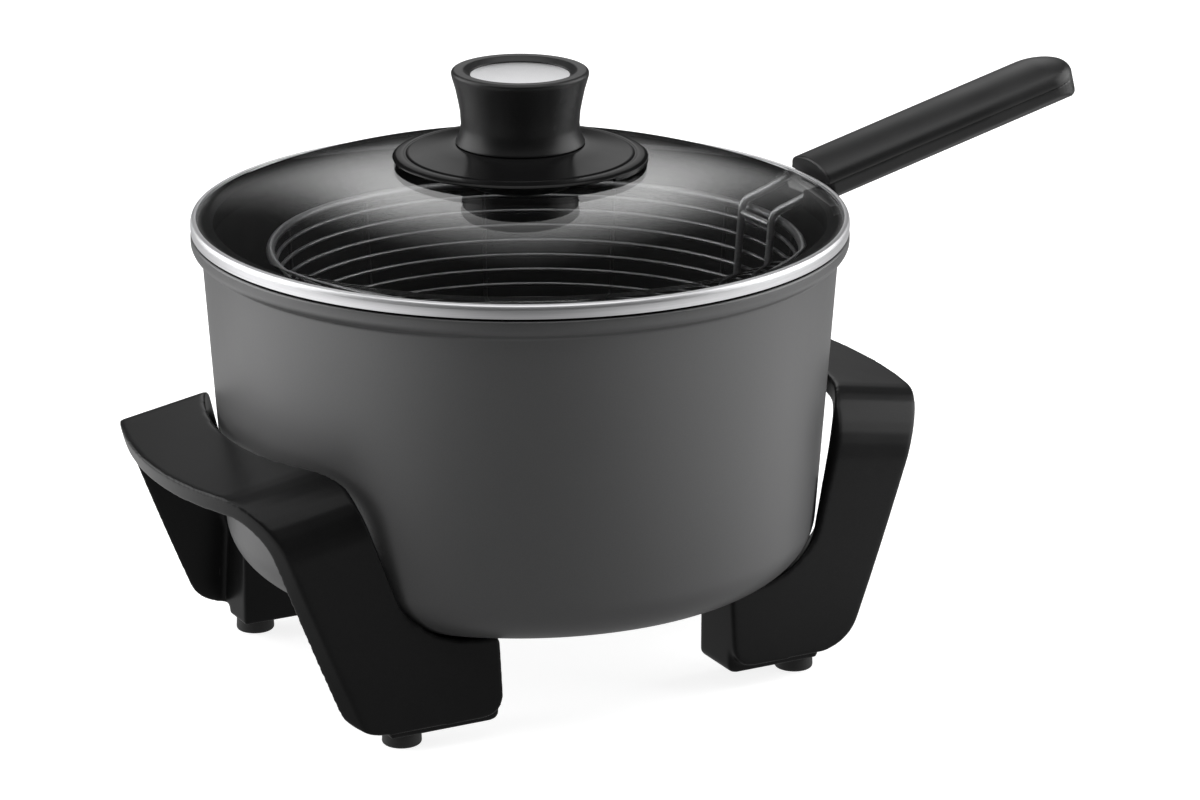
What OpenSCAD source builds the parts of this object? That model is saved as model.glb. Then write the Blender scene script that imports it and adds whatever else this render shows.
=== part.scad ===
// Countertop multicooker: a cast pot on two moulded leg handles, with a wire
// frying basket, a clip-on basket handle and a domed glass lid.
// Everything is drawn about the pot's axis, with Z = 0 on the surface it stands on.
// The front of the cooker faces -Y and the basket handle points along +X.

/* [Pot] */
// Outer diameter of the wall just under the rim flange
pot_d = 242; // [226:1:258]
// How far the rim flange stands out beyond the wall
flange_overhang = 4; // [3:0.5:6]
// Height of the rim flange
flange_h = 9; // [7:0.5:12]
// Height of the pot from its underside to its rim
pot_h = 130; // [126:1:150]
// How much smaller the wall's radius is at the bottom
pot_draft = 7; // [4:0.5:9]
// Wall thickness
pot_wall = 3; // [2.5:0.25:3.5]
// Base thickness
pot_base_t = 7; // [7:0.5:10]
// Outer radius of the bottom corner
pot_corner_r = 19; // [16:1:21]
// Height of the pot's underside above the surface
ground_clearance = 41; // [40:1:48]

/* [Lid] */
// Rise of the glass dome above its rim
dome_h = 24; // [19:0.5:27]
// Glass thickness at the centre
glass_t = 4; // [3.5:0.25:5]
// Glass thickness at the rim
glass_rim_t = 3.2; // [2.6:0.2:3.8]
// Sheet thickness of the steel band
band_t = 0.6; // [0.5:0.1:0.8]
// Width of the band's lip on top of the glass
band_lip = 2.2; // [1.6:0.1:4]
// Thickness of the rim gasket
gasket_t = 1.2; // [0.8:0.1:2]
// Depth of the gasket's locating lip inside the pot
gasket_lip_h = 5; // [3:0.5:7]

/* [Knob] */
// Diameter of the vent ring under the knob
vent_ring_d = 97; // [88:1:104]
// Edge height of the vent ring
vent_ring_edge = 1.8; // [1.2:0.1:2.6]
// Rise of the vent ring from its edge to the knob
vent_ring_rise = 3.7; // [3:0.1:5]
// Gap between the vent ring's edge and the glass
vent_gap = 1.7; // [1.5:0.1:2.5]
// Angle that the vent shutter covers
shutter_angle = 58; // [40:1:70]
// Depth of the shutter below the vent ring
shutter_drop = 1.1; // [0.5:0.1:1.1]
// Diameter of the knob's top
knob_top_d = 52; // [48:1:58]
// Diameter of the knob's waist
knob_waist_d = 45; // [40:1:47]
// Diameter of the flared collar that holds the vent ring down
knob_collar_d = 49; // [48:0.5:54]
// Height of the knob above the vent ring
knob_h = 28.4; // [22:0.2:36]
// Diameter of the metal inlay
inlay_d = 38; // [32:1:42]
// Thickness of the metal inlay
inlay_t = 1.2; // [0.8:0.1:2]
// Depth of the inlay's face below the knob's top
inlay_sink = 2; // [0.6:0.1:3]
// Diameter of the retainer below the glass
retainer_d = 45; // [38:1:50]
// Height of the retainer
retainer_h = 8.5; // [7:0.5:11]
// Thickness of the seals on either side of the glass
seal_t = 1; // [0.8:0.1:1.6]
// Thread diameter of the knob screw
knob_screw_d = 5; // [4:0.5:6]

/* [Basket] */
// Gap between the rim wire and the pot's mouth on the handle side
basket_near_gap = 9; // [7:0.5:12]
// Gap between the rim wire and the pot's mouth on the side away from the handle
basket_far_gap = 22.8; // [18:0.2:28]
// How much smaller the base ring's radius is than the rim wire's
basket_draw = 8.5; // [6:0.5:14]
// Depth of the rim wire below the pot's rim
basket_drop = 9; // [8:0.5:14]
// Rim wire diameter
rim_wire_d = 3.2; // [2.4:0.1:4]
// Mesh wire diameter
mesh_wire_d = 1.5; // [1.2:0.1:1.8]
// Spacing of the hoops
hoop_pitch = 5.8; // [5:0.1:9]
// Number of upright wires
upright_count = 12; // [8:2:36]
// Spacing of the rings in the basket's floor
floor_pitch = 11; // [8:1:20]
// Number of spokes in the basket's floor
spoke_count = 18; // [10:2:24]

/* [Basket handle] */
// Length of the grip
handle_l = 122; // [100:1:150]
// Width of the grip
handle_w = 31; // [28:1:36]
// Thickness of the upper shell at its crown
handle_top_t = 7.4; // [5:0.2:9]
// Thickness of the lower shell
handle_low_t = 7.2; // [6.6:0.2:9]
// Height of the joint between the shells above the prongs' centrelines
handle_rise = 3; // [2.4:0.2:3.6]
// Upward tilt of the grip
handle_tilt = 14.5; // [12:0.5:16]
// Prong wire diameter
prong_d = 3; // [2.6:0.1:3.4]
// Distance between the prongs' centrelines
prong_spacing = 23; // [20:0.5:24]
// Length of prong inside the grip
prong_grip = 34; // [26:1:40]
// Length of the bracket wire down the basket's wall
bracket_drop = 46; // [30:1:70]
// Bend radius of the bracket wire
bracket_bend_r = 4; // [3.5:0.5:5]
// Length of the release catch
catch_l = 16; // [12:1:20]
// Width of the release catch
catch_w = 12; // [9:0.5:15]
// Travel of the release catch
catch_travel = 2; // [1:0.25:2.5]

/* [Leg handles] */
// Height of the grip's inner edge above the surface
grip_z = 107; // [100:1:116]
// Radial depth of the grip at its middle
grip_depth = 32; // [26:1:38]
// Downward slope of the grip, away from the pot
grip_slope = 10; // [6:0.5:12]
// Plan radius of the grip's outer edge
grip_bow_r = 162; // [140:1:200]
// Half the length of the grip
grip_half_l = 70; // [64:0.5:74]
// Half the span of the legs at the bottom
stance_half = 82; // [78:0.5:88]
// Thickness of the moulded band
band_thick = 7.5; // [6:0.5:9]
// Outer bend radius where the grip turns into a leg
grip_bend_r = 26; // [14:0.5:30]
// Radial width of a leg
leg_w = 32; // [28:1:36]
// Distance from the axis to the heel
heel_x = 104.5; // [100:0.5:110]
// Inward lean of the legs
leg_lean = 18.5; // [15:0.5:20]
// Outward flare of the leg handle's outer face
leg_flare = 14.4; // [12:0.2:17]
// Distance from the axis to the inner end of the arm
arm_x = 49; // [47:1:54]
// Thickness of the arm under the pot
arm_t = 27; // [24:1:30]
// Height of the leg's underside above the surface
leg_floor = 10; // [8:0.5:12]
// How far the block inside each arm reaches below the leg's underside
block_drop = 3.5; // [2:0.5:4]
// Radius of the seat where a leg turns into its arm, beside the pot's bottom corner
seat_r = 18; // [12:1:22]
// Gap between the grip and the pot's wall
grip_gap = 4; // [3:0.5:6]
// Foot diameter
foot_d = 15; // [12:0.5:18]
// Distance from the axis to a foot, across the cooker
foot_x = 84; // [82:0.5:88]

/* [Heater] */
// Radius of the heating element's ring
element_r = 56; // [50:1:58]
// Diameter of the element's sheath
element_d = 6.4; // [5.6:0.2:7]
// Thickness of the heat spreader plate
spreader_t = 4; // [3:0.5:5]
// Distance from the centre to a terminal pin
pin_y = 13; // [12:0.5:15]
// Terminal pin diameter
pin_d = 6; // [5:0.5:7]
// Length of a terminal pin outside its insulator
pin_l = 22; // [16:1:26]
// Bore of the heat-control probe sleeve
probe_bore_d = 7.2; // [6:0.2:8]
// Length of the heat-control probe sleeve
probe_l = 30; // [24:1:34]
// Sheet thickness of the terminal guard
guard_t = 1.2; // [1:0.1:1.6]
// Distance of the terminal guard's mouth inside the pot's widest wall
guard_setback = 5; // [4:0.5:8]

/* [Hidden] */
$fn = 96;

// Clearances
loose = 0.3;     // between faces of pieces that move apart, and of neighbours that only seat
touch = 0.05;    // between wires that are welded together
slip = 0.1;      // round a wire, pin or screw in its hole
overcut = 1;     // how far a cutting shape runs past the face that it cuts

// Pot
pot_r = pot_d / 2;
rim_r = pot_r + flange_overhang;
pot_z = ground_clearance;
rim_z = pot_z + pot_h;
floor_z = pot_z + pot_base_t;
flange_z = rim_z - flange_h;
corner_cx = pot_r - pot_draft - pot_corner_r;
corner_cz = pot_z + pot_corner_r;
inner_corner_r = pot_corner_r - pot_wall;
mouth_r = pot_r - pot_wall;
draft_slope = pot_draft / (flange_z - corner_cz);
flange_under_angle = 80;    // where the flange's rounded underside leaves the wall
function wall_r(z) = pot_r - draft_slope * (flange_z - z);
// Height of the pot's inside above its flat floor, in the rounded corner
function floor_rise(r) =
    r > corner_cx ? inner_corner_r - sqrt(pow(inner_corner_r, 2) - pow(r - corner_cx, 2)) : 0;

// Lid stack, from the pot's rim upwards
gasket_z = rim_z + 0.2;
band_z = gasket_z + gasket_t;
glass_z = band_z + band_t;
glass_top_z = glass_z + glass_rim_t;
band_top_z = glass_top_z + 0.2 + band_t;
glass_r = rim_r - band_t - 0.2;
dome_r = rim_r - band_lip;
dome_top_z = glass_top_z + dome_h;
dome_under_z = dome_top_z - glass_t;
sphere_top_r = (dome_r * dome_r + dome_h * dome_h) / (2 * dome_h);
under_rise = dome_under_z - glass_z;
sphere_under_r = (dome_r * dome_r + under_rise * under_rise) / (2 * under_rise);
function glass_top(r) = dome_top_z - sphere_top_r + sqrt(sphere_top_r * sphere_top_r - r * r);
function glass_under(r) = dome_under_z - sphere_under_r + sqrt(sphere_under_r * sphere_under_r - r * r);
gasket_lip_r = mouth_r - 0.8;
gasket_lip_t = 1.6;

// Knob stack, from the glass upwards
knob_screw_r = knob_screw_d / 2;
seal_r = 15;
seal_bore_r = knob_screw_r + 2;
knob_bore_r = 22.8;         // of the base's boss, which the vent ring turns round
ring_r = vent_ring_d / 2;
ring_neck_t = 2.2;          // thickness of the vent ring next to the boss
ring_z = glass_top(ring_r) + vent_gap;
ring_edge_z = ring_z + vent_ring_edge;
ring_top_z = ring_edge_z + vent_ring_rise;
base_under_z = glass_top(0) + seal_t;
base_r = ring_r - 4;
base_edge_t = 1.1;
base_edge_z = glass_top(base_r) + loose + base_edge_t;
base_neck_z = ring_top_z - ring_neck_t - loose;
base_top_z = ring_top_z - loose;
collar_z = ring_top_z + loose;
collar_h = 6.5;
collar_edge_t = 0.5;
knob_top_z = ring_top_z + knob_h;
waist_z = collar_z + collar_h;
inlay_recess = inlay_t + inlay_sink;
inlay_bevel = 2.6;          // width of the sloping edge round the inlay
insert_r = knob_screw_r + 1.6;
insert_l = 12;
shutter_mid = -41;          // the shutter's direction at rest, closed over the vent
vent_r = 33;                // distance of the vent hole from the axis
vent_hole_r = 3.5;
grommet_wall = 1;
vent_slot_w = 5;
shutter_t = 1.6;
retainer_top_z = glass_under(0) - seal_t;
retainer_z = retainer_top_z - retainer_h;
retainer_round = 3;
screw_head_r = knob_screw_r * 2;
screw_head_h = 3;
screw_head_z = retainer_z + 1;

// Basket
basket_z = rim_z - basket_drop;
rim_wire_r = rim_wire_d / 2;
mesh_wire_r = mesh_wire_d / 2;
basket_r = mouth_r - rim_wire_r - (basket_near_gap + basket_far_gap) / 2;
basket_offset = (basket_far_gap - basket_near_gap) / 2;   // how far the basket sits towards the handle
basket_base_r = basket_r - basket_draw;
spoke_z = floor_z + floor_rise(basket_offset + basket_base_r) + loose + mesh_wire_r;
floor_ring_z = spoke_z + mesh_wire_d + touch;
base_ring_z = spoke_z + mesh_wire_r + touch + rim_wire_r;
basket_taper = (basket_r - basket_base_r) / (basket_z - base_ring_z);
basket_angle = atan(basket_taper);
function basket_wall_r(z) = basket_r - basket_taper * (basket_z - z);
hoop_inset = mesh_wire_d + touch;
hoop_count = floor((basket_z - base_ring_z - rim_wire_d) / hoop_pitch);
floor_hub_r = floor_pitch;

// Basket handle: s runs along the grip from its end face
prong_r = prong_d / 2;
prong_y = prong_spacing / 2;
prong_clear = 0.5;
prong_rim_z = glass_z - prong_clear - prong_r;
notch_half_w = prong_y + prong_r + 2;
handle_start_x = rim_r + 3.6;
prong_start_z = prong_rim_z + (handle_start_x - rim_r) * tan(handle_tilt);
handle_tip_r = handle_w / 2;
handle_crown_r = 34;
handle_corner_r = 3;
handle_taper = 1;           // the grip is this much narrower on each side at its start
seam = 0.1;                 // between the two shells
handle_screw_r = 1.5;
handle_screw_s = [44, 98];
handle_screw_head_r = 2.8;
handle_screw_sink = 2.2;
catch_s = 22;
catch_proud = 2.6;
catch_pocket_d = handle_low_t - 1.4;
bracket_inset = mesh_wire_r + mesh_wire_d + touch + prong_r + touch;
bracket_x = basket_offset + sqrt(pow(basket_r, 2) - pow(prong_y, 2)) - bracket_inset;
bracket_z = prong_rim_z - (rim_r - bracket_x) * tan(handle_tilt);
notch_run = flange_overhang + pot_wall + 2;
notch_floor_z = prong_rim_z - notch_run * tan(handle_tilt) - prong_r / cos(handle_tilt) - loose;

// Leg handles
grip_inner_r = wall_r(grip_z) + grip_gap;
grip_reach = grip_inner_r + grip_depth;
lean = tan(leg_lean);
function leg_out_x(z) = heel_x + (z - leg_floor) * lean;
function leg_in_x(z) = leg_out_x(z) - leg_w;
splay = (stance_half - grip_half_l) / (grip_z - leg_floor);
function leg_out_y(z) = stance_half - (z - leg_floor) * splay;
grip_pivot_x = leg_in_x(grip_z);
grip_edge_z = grip_z - (grip_reach - grip_pivot_x) * tan(grip_slope);
function flare_r(z) = grip_bow_r - (grip_edge_z - z) * tan(leg_flare);
heel_r = 20;
heel_out = 6;               // of the drawn leg beyond its flared outer face
round_heel_r = 15;          // of the rounder heel of each leg handle
round_heel_in = 4;          // of the rounder heel inside the flared outer face
round_heel_top = 80;        // height where the leg above it meets the flared face
rib_w = 8;                  // of the rib behind each leg, beside the pot
rib_depth = 24;
rib_top_z = (pot_z + grip_z) / 2 - 2;
toe_r = 8;
toe_top_r = 4;
block_corner_r = 3;
block_z = leg_floor - block_drop;
seat_gap = 1;
seat_rise = 6;              // of the arm's top beside the pot's bottom corner
seat_z = pot_z + seat_rise + seat_r;
block_margin = 2;           // of a block beyond its foot
foot_y = stance_half - arm_t / 2 - 1.5;
foot_r = foot_d / 2;
foot_stem_r = 3.5;
foot_stem_l = 8;
foot_chamfer = 1;
leg_screw_inset = 14;       // from the arm's inner end
leg_screw_x = arm_x + leg_screw_inset;
leg_screw_r = 2.4;
leg_screw_head_r = 4.6;
leg_screw_head_h = 3;
leg_screw_depth = 5;
leg_screw_grip = 16;        // thickness of arm above the screw's head
leg_screw_seat_z = pot_z - leg_screw_grip;

// Heater, under the pot's base
spreader_margin = 12;       // of the plate beyond the element's ring
spreader_r = element_r + spreader_margin;
spreader_z = pot_z - spreader_t;
element_wire_r = element_d / 2;
element_z = spreader_z - touch - element_wire_r;
element_bend_r = 10;
element_gap_angle = asin((pin_y + element_bend_r) / (element_r + element_bend_r));
cover_t = 1;
cover_clear = 0.3;
cover_half_w = element_wire_r + cover_clear + cover_t;
cover_under_z = element_z - element_wire_r - cover_clear - cover_t;
cover_flange = 8;
cover_gap_half = pin_y + element_wire_r + 4;
cover_screw_r = 1.5;
cover_screw_l = 7;
cover_screw_circle_r = element_r - cover_half_w - cover_flange / 2;
guard_l = 34;
guard_x = pot_r - guard_setback - guard_l;
guard_margin = 10;          // from a pin to the guard's side
guard_half_w = pin_y + guard_margin;
guard_top_z = pot_z;
guard_h = 20;
guard_z = guard_top_z - guard_h;
guard_screw_y = pin_y + 3;
guard_screw_x = guard_x + 7;
guard_screw_r = 1.5;
guard_screw_l = 7;
insulator_r = pin_d / 2 + 2.4;
insulator_l = 9;
insulator_neck_r = pin_d / 2 + 1.4;
probe_r = probe_bore_d / 2 + 1;
probe_end_t = 1.5;
probe_back = 12;            // of the sleeve behind the guard's rear wall
probe_x = guard_x - probe_back;
probe_z = spreader_z - touch - probe_r;   // the sleeve lies against the plate's underside
terminal_back = 5;          // of the element's end behind the guard's rear wall
element_end_x = guard_x - terminal_back;

// The frame's origin lies under the middle of the whole cooker's width
handle_under = handle_low_t - handle_rise;   // from the prongs down to the grip's underside
reach_right = handle_start_x + handle_l * cos(handle_tilt) + handle_under * sin(handle_tilt);
axis_x = (grip_reach - reach_right) / 2;

body_grey = [0.36, 0.36, 0.37];
phenolic_black = [0.08, 0.08, 0.085];
steel = [0.75, 0.76, 0.77];
wire_steel = [0.62, 0.62, 0.63];
silicone_black = [0.05, 0.05, 0.05];
aluminium = [0.7, 0.71, 0.72];
brass = [0.72, 0.58, 0.3];
ceramic = [0.88, 0.86, 0.8];
clear_glass = [0.75, 0.8, 0.8, 0.35];

// Shared shapes

function arc(cx, cz, r, from, to, steps) =
    [for (i = [0 : steps]) let (a = from + (to - from) * i / steps) [cx + r * cos(a), cz + r * sin(a)]];

function curve(a, b, c, steps) =
    [for (i = [0 : steps]) let (t = i / steps) a * pow(1 - t, 2) + b * 2 * t * (1 - t) + c * t * t];

module at_axis() {
    translate([axis_x, 0, 0]) children();
}

// A drawing in X and Z pushed out along Y, from -half to half
module across(half) {
    rotate([90, 0, 0]) linear_extrude(height = 2 * half, center = true) children();
}

// A drawing in Y and Z pushed out along X
module outward(from, to) {
    translate([from, 0, 0]) rotate([90, 0, 90]) linear_extrude(height = to - from) children();
}

module ring(radius, wire, z) {
    translate([0, 0, z]) rotate_extrude() translate([radius, 0]) circle(r = wire, $fn = 24);
}

// Four copies, one in each quarter
module in_four_quarters() {
    for (sx = [-1, 1], sy = [-1, 1]) scale_signs(sx, sy) children();
}

module scale_signs(sx, sy) {
    mirror([sx < 0 ? 1 : 0, 0, 0]) mirror([0, sy < 0 ? 1 : 0, 0]) children();
}

module pan_screw(shank_r, shank_l, head_r, head_h) {
    cylinder(r = shank_r, h = shank_l);
    translate([0, 0, -head_h]) cylinder(r1 = head_r * 0.8, r2 = head_r, h = head_h / 3);
    translate([0, 0, -head_h * 2 / 3]) cylinder(r = head_r, h = head_h * 2 / 3);
}

// Pot and heater

module pot() {
    outer = concat(
        [[0, pot_z]],
        arc(corner_cx, corner_cz, pot_corner_r, -90, 0, 10),
        [[pot_r, flange_z]],
        arc(pot_r, flange_z + flange_overhang, flange_overhang, -flange_under_angle, 0, 5),
        [[rim_r, rim_z - 0.8], [rim_r - 0.8, rim_z]]);
    inner = concat(
        [[mouth_r + 0.8, rim_z], [mouth_r, rim_z - 0.8], [mouth_r, flange_z]],
        arc(corner_cx, floor_z + inner_corner_r, inner_corner_r, 0, -90, 10),
        [[0, floor_z]]);
    color(body_grey) difference() {
        rotate_extrude() polygon(concat(outer, inner));
        translate([corner_cx, -notch_half_w, notch_floor_z])
            cube([rim_r - corner_cx + overcut, 2 * notch_half_w, rim_z - notch_floor_z + overcut]);
        in_four_quarters() translate([leg_screw_x, foot_y, pot_z - overcut])
            cylinder(r = leg_screw_r + slip, h = leg_screw_depth + 0.5 + overcut);
        for (sy = [-1, 1]) translate([guard_screw_x, sy * guard_screw_y, pot_z - overcut])
            cylinder(r = guard_screw_r + slip, h = guard_screw_l - guard_t + overcut);
        for (a = [60 : 120 : 300]) rotate(a) translate([cover_screw_circle_r, 0, pot_z - overcut])
            cylinder(r = cover_screw_r + slip, h = cover_screw_l - cover_t - spreader_t + 0.5 + overcut);
    }
}

module heat_spreader() {
    color(aluminium) difference() {
        translate([0, 0, spreader_z]) cylinder(r = spreader_r, h = spreader_t);
        for (a = [60 : 120 : 300]) rotate(a) translate([cover_screw_circle_r, 0, spreader_z - overcut])
            cylinder(r = cover_screw_r + slip, h = spreader_t + 2 * overcut);
    }
}

module heating_element() {
    bend_c = (element_r + element_bend_r) * [cos(element_gap_angle), sin(element_gap_angle)];
    ring_start = element_gap_angle + 0.1;
    color(wire_steel) translate([0, 0, element_z]) {
        rotate(ring_start) rotate_extrude(angle = 360 - 2 * ring_start)
            translate([element_r, 0]) circle(r = element_wire_r, $fn = 32);
        for (sy = [-1, 1]) scale_signs(1, sy) {
            translate([bend_c[0], bend_c[1], 0]) rotate(180 + element_gap_angle)
                rotate_extrude(angle = 90 - element_gap_angle)
                    translate([element_bend_r, 0]) circle(r = element_wire_r, $fn = 32);
            translate([bend_c[0] + touch, pin_y, 0]) rotate([0, 90, 0])
                cylinder(r = element_wire_r, h = element_end_x - bend_c[0] - touch, $fn = 32);
        }
    }
}

module element_cover() {
    inner_r = element_r - cover_half_w;
    color(steel) difference() {
        rotate_extrude() polygon([
            [inner_r - cover_flange, spreader_z], [inner_r - cover_flange, spreader_z - cover_t],
            [inner_r, spreader_z - cover_t], [inner_r, cover_under_z],
            [element_r + cover_half_w, cover_under_z], [element_r + cover_half_w, spreader_z],
            [element_r + cover_half_w - cover_t, spreader_z],
            [element_r + cover_half_w - cover_t, cover_under_z + cover_t],
            [inner_r + cover_t, cover_under_z + cover_t], [inner_r + cover_t, spreader_z]]);
        translate([0, -cover_gap_half, cover_under_z - overcut])
            cube([spreader_r, 2 * cover_gap_half, pot_z - cover_under_z + 2 * overcut]);
        for (a = [60 : 120 : 300]) rotate(a) translate([cover_screw_circle_r, 0, cover_under_z])
            cylinder(r = cover_screw_r + slip, h = pot_z - cover_under_z);
    }
}

module cover_screws() {
    color(steel) for (a = [60 : 120 : 300]) rotate(a)
        translate([cover_screw_circle_r, 0, spreader_z - cover_t])
            pan_screw(cover_screw_r, cover_screw_l, cover_screw_r * 1.9, 1.8);
}

module terminal_guard() {
    color(steel) difference() {
        translate([guard_x, -guard_half_w, guard_z]) cube([guard_l, 2 * guard_half_w, guard_h]);
        translate([guard_x + guard_t, -guard_half_w + guard_t, guard_z + guard_t])
            cube([guard_l, 2 * (guard_half_w - guard_t), guard_h - 2 * guard_t]);
        for (sy = [-1, 1]) translate([guard_x - overcut, sy * pin_y, element_z]) rotate([0, 90, 0])
            cylinder(r = insulator_neck_r + slip, h = guard_t + 2 * overcut);
        translate([guard_x - overcut, 0, probe_z]) rotate([0, 90, 0])
            cylinder(r = probe_r + slip, h = guard_t + 2 * overcut);
        for (sy = [-1, 1]) translate([guard_screw_x, sy * guard_screw_y, guard_top_z - guard_t - overcut])
            cylinder(r = guard_screw_r + slip, h = guard_t + 2 * overcut);
        rotate_extrude() polygon(pot_envelope_outline(0.2));
    }
}

module guard_screws() {
    color(steel) for (sy = [-1, 1])
        translate([guard_screw_x, sy * guard_screw_y, guard_top_z - guard_t])
            pan_screw(guard_screw_r, guard_screw_l - 0.5, guard_screw_r * 1.8, 1.6);
}

module terminal_insulators() {
    color(ceramic) for (sy = [-1, 1]) translate([guard_x, sy * pin_y, element_z]) rotate([0, 90, 0])
        difference() {
            union() {
                translate([0, 0, -insulator_l / 2]) cylinder(r = insulator_neck_r, h = insulator_l);
                translate([0, 0, guard_t]) cylinder(r = insulator_r, h = insulator_l / 3);
            }
            translate([0, 0, -insulator_l]) cylinder(r = pin_d / 2 + touch, h = 2 * insulator_l);
        }
}

module terminal_pins() {
    color(brass) for (sy = [-1, 1])
        translate([element_end_x + touch, sy * pin_y, element_z]) rotate([0, 90, 0]) {
            pin_end = guard_x - element_end_x + insulator_l / 2 + pin_l;
            cylinder(r = pin_d / 2, h = pin_end - 1.5);
            translate([0, 0, pin_end - 1.5]) cylinder(r1 = pin_d / 2, r2 = pin_d / 2 - 1, h = 1.5);
        }
}

module probe_sleeve() {
    color(aluminium) translate([probe_x, 0, probe_z]) rotate([0, 90, 0]) difference() {
        cylinder(r = probe_r, h = probe_l);
        translate([0, 0, probe_end_t]) cylinder(r = probe_bore_d / 2, h = probe_l);
    }
}

// Leg handles and feet

// Space that the pot needs beside a neighbour, in radius and height
function pot_envelope_outline(gap) =
    let (top_r = wall_r(grip_z) + max(gap, grip_gap))
    concat(
        [[0, pot_z], [corner_cx, pot_z]],
        arc(corner_cx, corner_cz, pot_corner_r + gap, -90, 0, 10),
        [[top_r, grip_z], [top_r, rim_z], [0, rim_z]]);

// A leg handle seen from the front: arm, heel and leg, open at the grip's outer side
module leg_side_outline(low_z, toe, heel) {
    top_z = grip_z + 2 * band_thick;
    far_x = grip_reach + overcut;
    heel_z = low_z + heel;
    heel_cx = leg_out_x(heel_z) + heel_out - heel / cos(leg_lean);
    seat_cx = leg_in_x(seat_z) - seat_r / cos(leg_lean);
    polygon(concat(
        arc(arm_x + toe, low_z + toe, toe, 180, 270, 6),
        arc(heel_cx, heel_z, heel, -90, -leg_lean, 8),
        [[leg_out_x(pot_z) + heel_out, pot_z], [far_x, pot_z + leg_w], [far_x, top_z],
         [leg_in_x(top_z), top_z]],
        arc(seat_cx, seat_z, seat_r, -leg_lean, -90, 8),
        [[seat_cx - seat_r, seat_z - seat_r], [seat_cx - seat_r, pot_z]],
        arc(arm_x + toe_top_r, pot_z - toe_top_r, toe_top_r, 90, 180, 4)));
}

// The arch seen from the end, with its outline drawn in by an inset
module arch_outline(inset) {
    top_z = grip_z - inset;
    r = grip_bend_r - inset;
    lean_in = atan(splay);
    low_z = -2 * leg_floor;
    bend_y = leg_out_y(top_z - r) - (inset + r) / cos(lean_in);
    half = concat(
        [[leg_out_y(low_z) - inset / cos(lean_in), low_z]],
        arc(bend_y, top_z - r, r, lean_in, 90, 8));
    polygon(concat(half, [for (i = [len(half) - 1 : -1 : 0]) [-half[i][0], half[i][1]]]));
}

module tilted_to_grip() {
    translate([grip_pivot_x, 0, grip_z]) rotate([0, grip_slope, 0]) translate([-grip_pivot_x, 0, -grip_z])
        children();
}

// The blocks behind the band that carry the feet and the screws
module foot_blocks() {
    block_w = arm_t - band_thick / 2;
    for (sy = [-1, 1]) intersection() {
        across(stance_half) leg_side_outline(block_z, block_corner_r, block_corner_r);
        scale_signs(1, sy) translate([0, stance_half - arm_t, 0])
            cube([foot_x + foot_r + block_margin, block_w, seat_z]);
    }
}

// The rib behind each leg
module leg_ribs() {
    for (sy = [-1, 1]) scale_signs(1, sy) translate([0, stance_half - arm_t / 4, 0])
        rotate([90, 0, 0]) linear_extrude(height = rib_depth - arm_t / 4)
            polygon([
                [leg_in_x(pot_z - 2) + 2, pot_z - 2],
                [leg_in_x(pot_z - 2) + 2 + rib_w, pot_z - 2],
                [leg_in_x(rib_top_z) + 2 + rib_w, rib_top_z],
                [leg_in_x(rib_top_z) + 2, rib_top_z]]);
}

// What is taken off one leg to give it a rounder heel
module heel_round() {
    low_r = flare_r(leg_floor) - round_heel_in;
    rise = (flare_r(round_heel_top) - low_r) / (round_heel_top - leg_floor);
    turn_z = leg_floor + round_heel_r - 0.4;
    turn_r = low_r + (turn_z - leg_floor) * rise - round_heel_r / cos(atan(rise));
    far_r = grip_bow_r + grip_reach;
    intersection() {
        translate([grip_reach - grip_bow_r, 0, 0]) rotate_extrude() polygon(concat(
            [[turn_r, -overcut]],
            arc(turn_r, turn_z, round_heel_r, -90, -atan(rise), 8),
            [[low_r + (grip_z - leg_floor) * rise, grip_z], [far_r, grip_z], [far_r, -overcut]]));
        translate([0, -2 * stance_half, -2 * overcut])
            cube([2 * grip_reach, 1.8 * stance_half, grip_z + overcut]);
    }
}

// Both leg handles are this one moulding, turned half round
module leg_handle() {
    color(phenolic_black) difference() {
        intersection() {
            union() {
                difference() {
                    across(stance_half + 2) leg_side_outline(leg_floor, toe_r, heel_r);
                    tilted_to_grip() outward(0, 2 * grip_reach) arch_outline(band_thick);
                }
                foot_blocks();
                leg_ribs();
            }
            translate([grip_reach - grip_bow_r, 0, 0])
                cylinder(r1 = flare_r(0), r2 = flare_r(rim_z), h = rim_z, $fn = 180);
            tilted_to_grip() outward(0, 2 * grip_reach) arch_outline(0);
        }
        rotate_extrude() polygon(pot_envelope_outline(seat_gap));
        heel_round();
        for (sy = [-1, 1]) {
            translate([foot_x, sy * foot_y, 0])
                cylinder(r = foot_stem_r + touch, h = block_z + foot_stem_l + 0.5);
            translate([leg_screw_x, sy * foot_y, 0]) {
                cylinder(r = leg_screw_r + slip, h = pot_z + overcut);
                cylinder(r = leg_screw_head_r + 0.6, h = leg_screw_seat_z);
            }
        }
    }
}

module left_leg_handle() {
    rotate([0, 0, 180]) leg_handle();
}

module right_leg_handle() {
    leg_handle();
}

module leg_screws() {
    color(steel) in_four_quarters() translate([leg_screw_x, foot_y, leg_screw_seat_z])
        pan_screw(leg_screw_r, leg_screw_grip + leg_screw_depth, leg_screw_head_r, leg_screw_head_h);
}

module foot(sx, sy) {
    color(silicone_black) translate([sx * foot_x, sy * foot_y, 0]) {
        cylinder(r1 = foot_r - foot_chamfer, r2 = foot_r, h = foot_chamfer);
        translate([0, 0, foot_chamfer]) cylinder(r = foot_r, h = block_z - foot_chamfer);
        cylinder(r = foot_stem_r, h = block_z + foot_stem_l);
    }
}

// Basket

module basket_rim() {
    color(wire_steel) translate([basket_offset, 0, 0]) ring(basket_r, rim_wire_r, basket_z);
}

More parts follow.
